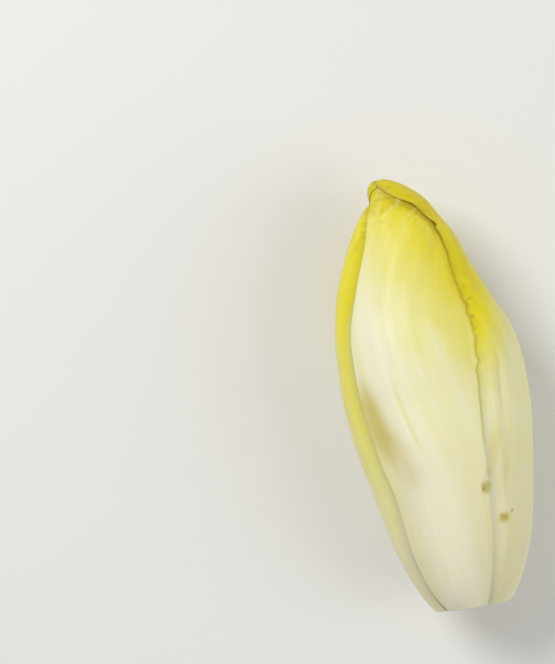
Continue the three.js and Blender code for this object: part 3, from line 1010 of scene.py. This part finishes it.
def heart_rings(around, rows):
    """Rings of the heart: small leaves folded round each other on a spiral."""
    share = np.arange(rows) / rows
    angle = np.arange(around) * 360 / around
    angle, share = np.meshgrid(angle, share, indexing="xy")
    along = HEART_FOOT + (HEART_TIP - HEART_FOOT) * row_place(share)
    skin = np.linalg.norm(skin_ray(angle, along), axis=-1)
    turn = HEART_TURNS * angle / 360 + along / HEART_PITCH
    fold = HEART_STEP * (turn - np.floor(turn)) * share
    room = skin - depth_under(len(LEAVES), angle, along) - HEART_AIR
    return body_point(angle, along, skin - (room - fold) * np.sqrt(1 - share**HEART_BLUNTNESS)), along


def add_node(tree, kind, inputs, output=0, **settings):
    """Adds a shader node, sets it up and gives one of its outputs. An input that is a socket is linked."""
    node = tree.nodes.new("ShaderNode" + kind)
    for name, value in settings.items():
        setattr(node, name, value)
    for socket, value in inputs.items():
        if isinstance(value, bpy.types.NodeSocket):
            tree.links.new(value, node.inputs[socket])
        else:
            node.inputs[socket].default_value = value
    return node.outputs[output] if node.outputs else None


# Sockets of a colour mix node, which has one set for each kind of data.
FACTOR, FIRST, SECOND, MIXED = 0, 6, 7, 2

# How far red, green and blue light wander in the flesh, beside each other.
FLESH_GLOW = (1.0, 0.85, 0.3)

# Cloudy patterns: the space they lie in, the size of their lumps in it in metres, their detail and
# roughness. In a leaf's own space the sizes run round the head from the rib and along the leaf.
LEAF_PATTERNS = {
    "clouds": ("head", (0.016, 0.016, 0.016), 4.0, 0.5),
    "bands": ("leaf", (0.0034, 0.06, 1.0), 2.0, 0.5),
    "streaks": ("leaf", (0.0011, 0.022, 1.0), 3.0, 0.6),
    "cells": ("leaf", (0.0005, 0.0022, 1.0), 2.0, 0.55),
    "mottles": ("head", (0.0032, 0.0032, 0.0032), 3.0, 0.6),
    "flecks": ("head", (0.0011, 0.0011, 0.0011), 3.0, 0.5),
}
CORE_PATTERNS = {
    "clouds": ("head", (0.005, 0.005, 0.005), 3.0, 0.5),
    "grain": ("head", (0.0012, 0.0012, 0.0012), 3.0, 0.6),
}

# What the leaves' material reads at each point of their mesh.
LEAF_MARKS = (*MARKS, "rim", "fold", "flap_band")
LEAF_FACTS = ("yellow", "rib", "vein_phase", "veined", "tip", "bruise", "cut", "away", "along", *LEAF_MARKS)
CORE_FACTS = ("cut", "radius")

# How much patterns make the yellow come and go.
YELLOW_SWINGS = {"clouds": 0.07, "bands": 0.07, "streaks": 0.05}

# Colours laid over the ground colour, in order. Each covers by the product of what it lists: from one
# value of a fact or pattern to another, its cover goes smoothly from the third number to the fourth. One
# number alone is the cover where the value is 1, and there is none where it is 0.
LEAF_COATS = (
    # Painted shade: darker and greyer towards the cut.
    ("base", {"along": (0.0, 0.075, 0.9, 0.0)}),
    ("pale", {"yellowness": (0.0, 0.42, 0.0, 1.0)}),
    ("bright", {"yellowness": (0.3, 0.8, 0.0, 1.0)}),
    ("deep", {"yellowness": (0.7, 1.05, 0.0, 1.0), "mottles": (0.25, 0.75, 0.4, 1.0)}),
    ("deep", {"along": (0.1435, 0.149, 0.0, 0.92), "mottles": (0.2, 0.6, 0.75, 1.0)}),
    ("rib", {"rib": 0.85, "streaks": (0.15, 0.6, 0.55, 1.0)}),
    ("pale", {"groove": 0.5}),
    ("deep", {"tip": (0.1, 0.6, 0.0, 0.75), "yellowness": (0.75, 0.95, 0.0, 1.0)}),
    # Painted shadow on the front leaf under the right leaf's margin, deepest under the hood.
    ("ochre_shade", {"flap_band": 0.34, "clouds": (0.25, 0.7, 0.6, 1.0)}),
    ("shade", {"flap_band": (0.1, 0.75, 0.0, 0.75), "along": (0.132, 0.139, 0.0, 1.0)}),
    ("pale", {"vein_line": 0.45}),
    ("olive", {"tip": 0.38, "mottles": (0.48, 0.72, 0.0, 1.0)}),
    # Painted shade in the hollow beside the rib.
    ("shade", {"hollow": 0.68, "clouds": (0.25, 0.65, 0.75, 1.0), "streaks": (0.2, 0.6, 0.9, 1.0)}),
    ("shade", {"low_shade": 0.34, "bands": (0.3, 0.7, 0.7, 1.0)}),
    # Painted shade down the right leaf.
    ("ochre_shade", {"tan": (0.0, 1.2, 0.0, 0.24), "bands": (0.3, 0.7, 0.5, 1.0)}),
    # Along the right leaf's front margin: its own deeper yellow, and painted shadow of the gap under it, more
    # ochre towards the tip.
    ("shade", {"rim": 0.65, "mottles": (0.25, 0.6, 0.6, 1.0)}),
    ("ochre_shade", {
        "rim": (0.3, 1.0, 0.0, 0.38), "mottles": (0.3, 0.6, 0.3, 1.0), "along": (0.092, 0.104, 0.0, 1.0)
    }),
    # Painted shade in the troughs of the wrinkles beside the right leaf's margin.
    ("ochre_shade", {"fold": (0.25, 1.2, 0.0, 0.45)}),
    # Painted shade in the right leaf's crease.
    ("olive", {"crease": 0.2}),
    ("shade", {"bruise": (0.0, 0.4, 0.0, 0.7), "mottles": (0.3, 0.6, 0.4, 1.0)}),
    ("olive", {"bruise": (0.1, 0.6, 0.0, 0.65), "flecks": (0.35, 0.6, 0.1, 1.0)}),
    ("dark", {"bruise": (0.55, 0.95, 0.0, 0.9), "flecks": (0.25, 0.5, 0.4, 1.0)}),
    ("cut", {"cut": 0.9}),
    ("cream", {"cut": 1.0, "clouds": (0.3, 0.7, 0.2, 0.7)}),
    ("rust", {"cut": 1.0, "mottles": (0.4, 0.75, 0.02, 0.16)}),
)
CORE_COATS = (
    ("cream", {"clouds": (0.3, 0.7, 0.0, 1.0)}),
    ("rust", {"rings": (0.2, 1.0, 0.0, 0.16), "cut": 1.0}),
    ("rust", {"rim": (0.004, 0.0105, 0.08, 0.42), "grain": (0.3, 0.7, 0.4, 1.0), "cut": 1.0}),
)


def new_material(name):
    """An empty material with its node tree."""
    material = bpy.data.materials.new(name)
    material.use_nodes = True
    material.node_tree.nodes.clear()
    return material, material.node_tree


def read_facts(tree, facts):
    """Reads what a mesh tells its material at each point, by name."""
    return {fact: add_node(tree, "Attribute", {}, "Fac", attribute_name=fact) for fact in facts}


def add_patterns(tree, patterns, spaces):
    """Adds the cloudy patterns that a material uses, by name."""
    made = {}
    for name, (space, lump, detail, roughness) in patterns.items():
        scale = tuple(1 / length for length in lump)
        placed = add_node(tree, "Mapping", {"Vector": spaces[space], "Scale": scale})
        noise = {"Vector": placed, "Scale": 1.0, "Detail": detail, "Roughness": roughness}
        made[name] = add_node(tree, "TexNoise", noise, "Fac")
    return made


def lay_coats(tree, ground, coats, sources, colours):
    """Lays colours over a ground colour and gives the result."""
    result = (*ground, 1.0)
    for coat, limits in coats:
        cover = 1.0
        for source, limit in limits.items():
            start, end, low, high = limit if isinstance(limit, tuple) else (0.0, 1.0, 0.0, limit)
            reach = {"From Min": start, "From Max": end, "To Min": low, "To Max": high}
            reach = {"Value": sources[source], **reach}
            part = add_node(tree, "MapRange", reach, interpolation_type="SMOOTHSTEP")
            cover = add_node(tree, "Math", {0: part, 1: cover}, operation="MULTIPLY")
        colour = (*getattr(colours, coat), 1.0)
        result = add_node(
            tree, "Mix", {FACTOR: cover, FIRST: result, SECOND: colour}, MIXED, data_type="RGBA"
        )
    return result


def finish_material(tree, surface):
    """Puts the parts on the shader and the shader on the output."""
    shader = add_node(tree, "BsdfPrincipled", surface)
    add_node(tree, "OutputMaterial", {"Surface": shader})


def vein_line(tree, phase, veined):
    """1 on a vein and 0 between two, each of its own strength, as in the leaf's form."""
    number = add_node(tree, "Math", {0: phase}, operation="ROUND")
    apart = add_node(tree, "Math", {0: phase, 1: number}, operation="SUBTRACT")
    apart = add_node(tree, "Math", {0: apart}, operation="ABSOLUTE")
    reach = {"Value": apart, "From Min": 0.0, "From Max": 1.6 * VEIN_HALF_WIDTH, "To Min": 1.0, "To Max": 0.0}
    line = add_node(tree, "MapRange", reach, interpolation_type="SMOOTHSTEP")
    draw = add_node(tree, "Math", {0: number, 1: VEIN_DRAW}, operation="MULTIPLY")
    draw = add_node(tree, "Math", {0: draw}, operation="SINE")
    strength = {0: draw, 1: 1 - VEIN_STRENGTH, 2: VEIN_STRENGTH}
    draw = add_node(tree, "Math", strength, operation="MULTIPLY_ADD")
    line = add_node(tree, "Math", {0: line, 1: draw}, operation="MULTIPLY")
    return add_node(tree, "Math", {0: line, 1: veined}, operation="MULTIPLY")


def leaf_material(name, colours):
    """Fresh chicory leaf, forced in the dark: wet pale flesh under a thin waxy skin.

    Light wanders in the flesh, so that the blade glows and its thin margins look brighter. The skin is
    satin and faintly streaked along the leaf, because its cells are long.
    """
    material, tree = new_material(name)
    sources = read_facts(tree, LEAF_FACTS)
    spaces = {
        "head": add_node(tree, "TexCoord", {}, "Object"),
        "leaf": add_node(tree, "CombineXYZ", {"X": sources["away"], "Y": sources["along"]}),
    }
    sources.update(add_patterns(tree, LEAF_PATTERNS, spaces))
    yellowness = sources["yellow"]
    for pattern, swing in YELLOW_SWINGS.items():
        reach = {"From Min": 0.25, "From Max": 0.75, "To Min": -swing, "To Max": swing}
        part = add_node(tree, "MapRange", {"Value": sources[pattern], **reach})
        yellowness = add_node(tree, "Math", {0: yellowness, 1: part}, operation="ADD")
    sources["yellowness"] = yellowness
    sources["vein_line"] = vein_line(tree, sources["vein_phase"], sources["veined"])
    colour = lay_coats(tree, colours.cream, LEAF_COATS, sources, colours)
    skin = {0: sources["cells"], 1: 0.6, 2: sources["streaks"]}
    height = add_node(tree, "Math", skin, operation="MULTIPLY_ADD")
    bump = add_node(tree, "Bump", {"Height": height, "Strength": 0.35, "Distance": 0.00011})
    sheen = {"Value": sources["streaks"], "From Min": 0.2, "From Max": 0.8, "To Min": 0.38, "To Max": 0.52}
    surface = {
        "Base Color": colour,
        "Roughness": add_node(tree, "MapRange", sheen),
        "IOR": 1.42,
        "Normal": bump,
        "Subsurface Weight": 0.35,
        "Subsurface Radius": FLESH_GLOW,
        "Subsurface Scale": 0.0022,
    }
    finish_material(tree, surface)
    return material


def core_material(colours):
    """Cut chicory root flesh: wet, pale and firm, browned by the air where the knife went."""
    material, tree = new_material("core flesh, cut and browned")
    sources = read_facts(tree, CORE_FACTS)
    spaces = {"head": add_node(tree, "TexCoord", {}, "Object")}
    sources.update(add_patterns(tree, CORE_PATTERNS, spaces))
    uneven = {0: sources["clouds"], 1: RING_UNEVENNESS, 2: sources["radius"]}
    radius = add_node(tree, "Math", uneven, operation="MULTIPLY_ADD")
    turns = add_node(tree, "Math", {0: radius, 1: 2 * math.pi / RING_SPACING}, operation="MULTIPLY")
    sources["rings"] = add_node(tree, "Math", {0: turns}, operation="SINE")
    sources["rim"] = radius
    colour = lay_coats(tree, colours.cut, CORE_COATS, sources, colours)
    damp = {"Value": sources["grain"], "From Min": 0.3, "From Max": 0.7, "To Min": 0.42, "To Max": 0.6}
    grain = {"Height": sources["grain"], "Strength": 0.5, "Distance": 0.0003}
    surface = {
        "Base Color": colour,
        "Roughness": add_node(tree, "MapRange", damp),
        "IOR": 1.4,
        "Normal": add_node(tree, "Bump", grain),
        "Subsurface Weight": 0.3,
        "Subsurface Radius": FLESH_GLOW,
        "Subsurface Scale": 0.003,
    }
    finish_material(tree, surface)
    return material


def floor_material(colours):
    """Painted board, matt and pale: it takes soft shadows and shows nothing else."""
    material, tree = new_material("painted board, matt")
    finish_material(tree, {"Base Color": (*colours.floor, 1.0), "Roughness": 0.8, "IOR": 1.5})
    return material


class EndiveOperator:
    """What the operators share: they work on the scene's own settings and can be undone."""

    bl_options = {"REGISTER", "UNDO"}


class ENDIVE_OT_core(EndiveOperator, Operator):
    """Makes the core with its cut face"""

    bl_idname = "endive.core"
    bl_label = "Core"

    def execute(self, context):
        settings = context.scene.endive
        rings, cut, radius = core_rings(settings.detail.round_steps, settings.shape)
        top = np.array(0.0)
        start = body_point(top, top, np.linalg.norm(skin_ray(top, top)))
        start[1] += CUT_DISH
        points = closed(start, rings, spine_point(CORE_TOP))
        facts = {"cut": closed(1, cut, 0), "radius": closed(0, radius, 0) * MM}
        faces = ring_faces(*radius.shape)
        make_piece("core_cut", points, faces, facts, core_material(settings.colours), ["core"])
        return {"FINISHED"}


class ENDIVE_OT_outer_leaves(EndiveOperator, Operator):
    """Grows the three leaves that show: the left one, the right one with its hood, and the front one"""

    bl_idname = "endive.outer_leaves"
    bl_label = "Outer leaves"

    def execute(self, context):
        settings = context.scene.endive
        for leaf, side in zip(SHOWN_LEAVES, ("left", "right", "front")):
            make_leaf(leaf, settings, leaf_material(f"{side} leaf, satin waxy skin", settings.colours))
        return {"FINISHED"}


class ENDIVE_OT_inner_leaves(EndiveOperator, Operator):
    """Grows the nine leaves inside, on the plant's spiral"""

    bl_idname = "endive.inner_leaves"
    bl_label = "Inner leaves"

    def execute(self, context):
        settings = context.scene.endive
        material = leaf_material("inner leaf, satin waxy skin", settings.colours)
        for leaf in INSIDE_LEAVES:
            make_leaf(leaf, settings, material)
        return {"FINISHED"}


class ENDIVE_OT_heart(EndiveOperator, Operator):
    """Grows the heart, the bud of small folded leaves on top of the core"""

    bl_idname = "endive.heart"
    bl_label = "Heart"

    def execute(self, context):
        settings = context.scene.endive
        rings, along = heart_rings(settings.detail.round_steps, settings.detail.hidden_rows)
        points = closed(spine_point(HEART_FOOT), rings, spine_point(HEART_TIP))
        facts = dict.fromkeys(LEAF_FACTS, np.zeros(len(points)))
        facts["yellow"] = closed(0, smooth_step(along, *HEART_YELLOW), 1)
        facts["along"] = closed(HEART_FOOT, along, HEART_TIP) * MM
        facts["away"] = points[:, 0] * MM
        material = leaf_material("heart leaf, satin waxy skin", settings.colours)
        faces = ring_faces(*along.shape)
        make_piece("heart_bud", points, faces, facts, material, ["heart"])
        return {"FINISHED"}


def add_floor(colours):
    """A wide round floor under the head."""
    turn = np.arange(FLOOR_CORNERS) * 2 * np.pi / FLOOR_CORNERS
    points = np.stack([np.cos(turn), np.sin(turn), 0 * turn], axis=-1) * FLOOR_RADIUS
    floor = add_mesh("floor", points, [list(range(FLOOR_CORNERS))], floor_material(colours))


def add_softbox(name, place, aim, size, power):
    """A square area light that looks at a point."""
    light = bpy.data.lights.new(name, "AREA")
    light.shape = "SQUARE"
    light.size = size
    light.energy = power
    lamp = add_object(name, light)
    lamp.location = place
    lamp.rotation_euler = (Vector(aim) - Vector(place)).to_track_quat("-Z", "Y").to_euler()


def add_room_light(strength):
    """Even light from all round, as between white walls."""
    world = bpy.data.worlds.new("room")
    world.use_nodes = True
    world.node_tree.nodes.clear()
    light = add_node(world.node_tree, "Background", {"Color": (1, 1, 1, 1), "Strength": strength})
    add_node(world.node_tree, "OutputWorld", {"Surface": light})
    bpy.context.scene.world = world


def photo_centre():
    """The middle of the photo's frame in the row frame, in metres, from the head's base and lean in it."""
    lean = math.radians(PHOTO_LEAN)
    right = PHOTO_SIZE[0] / 2 - BASE_PIXEL[0]
    up = BASE_PIXEL[1] - PHOTO_SIZE[1] / 2
    along = up * math.cos(lean) - right * math.sin(lean)
    across = right * math.cos(lean) + up * math.sin(lean)
    return (across * MM_PER_PIXEL + PLACE[0]) * MM, (along * MM_PER_PIXEL + PLACE[1]) * MM


def add_camera(height):
    """The camera looks straight down, and the head leans in its frame as in the photo."""
    lean = math.radians(PHOTO_LEAN)
    x, y = photo_centre()
    middle = SPINE_HEIGHT * MM
    camera = bpy.data.cameras.new("camera")
    camera.sensor_width = SENSOR
    camera.lens = SENSOR * height / (PHOTO_SIZE[1] * MM_PER_PIXEL * MM)
    holder = add_object("camera", camera)
    up = Vector((math.sin(lean), math.cos(lean), 0))
    right = up.cross(Vector((0, 0, 1)))
    turned = Matrix((right, up, (0, 0, 1))).transposed()
    holder.matrix_world = Matrix.Translation((x, y, middle + height)) @ turned.to_4x4()
    bpy.context.scene.camera = holder


class ENDIVE_OT_stage(EndiveOperator, Operator):
    """Lays the floor and sets up the lights and the camera"""

    bl_idname = "endive.stage"
    bl_label = "Stage"

    def execute(self, context):
        settings = context.scene.endive
        studio = settings.studio
        middle = (0, 0, SPINE_HEIGHT * MM)
        add_floor(settings.colours)
        add_softbox("key softbox", KEY_PLACE, middle, KEY_WIDTH, studio.key)
        add_softbox("fill softbox", FILL_PLACE, middle, FILL_WIDTH, studio.fill)
        add_room_light(studio.sky)
        add_camera(studio.camera_height)
        context.scene.view_settings.view_transform = "Standard"
        return {"FINISHED"}


class EndiveSettings(PropertyGroup):
    """All that a user can change."""

    shape: PointerProperty(type=EndiveShape)
    detail: PointerProperty(type=EndiveDetail)
    colours: PointerProperty(type=EndiveColours)
    studio: PointerProperty(type=EndiveStudio)


OPERATORS = (
    ENDIVE_OT_core,
    ENDIVE_OT_outer_leaves,
    ENDIVE_OT_inner_leaves,
    ENDIVE_OT_heart,
    ENDIVE_OT_stage,
)


class ENDIVE_PT_panel(Panel):
    """Lists the endive's pieces and settings"""

    bl_idname = "ENDIVE_PT_panel"
    bl_label = "Belgian endive"
    bl_space_type = "VIEW_3D"
    bl_region_type = "UI"
    bl_category = "Endive"

    def draw(self, context):
        layout = self.layout
        for operator in OPERATORS:
            layout.operator(operator.bl_idname)
        settings = context.scene.endive
        for group in (settings.shape, settings.detail, settings.colours, settings.studio):
            box = layout.box()
            for name in group.__annotations__:
                box.prop(group, name)


GROUPS = (EndiveShape, EndiveDetail, EndiveColours, EndiveStudio, EndiveSettings)
CLASSES = (*GROUPS, *OPERATORS, ENDIVE_PT_panel)


def register():
    """Adds the classes and the scene's settings."""
    for made in CLASSES:
        bpy.utils.register_class(made)
    bpy.types.Scene.endive = PointerProperty(type=EndiveSettings)


def unregister():
    """Takes them away again."""
    del bpy.types.Scene.endive
    for made in reversed(CLASSES):
        bpy.utils.unregister_class(made)


def main():
    """Makes every piece in order, then the stage."""
    register()
    bpy.ops.endive.core()
    bpy.ops.endive.outer_leaves()
    bpy.ops.endive.inner_leaves()
    bpy.ops.endive.heart()
    bpy.ops.endive.stage()
    bpy.context.view_layer.update()


if __name__ == "__main__":
    main()
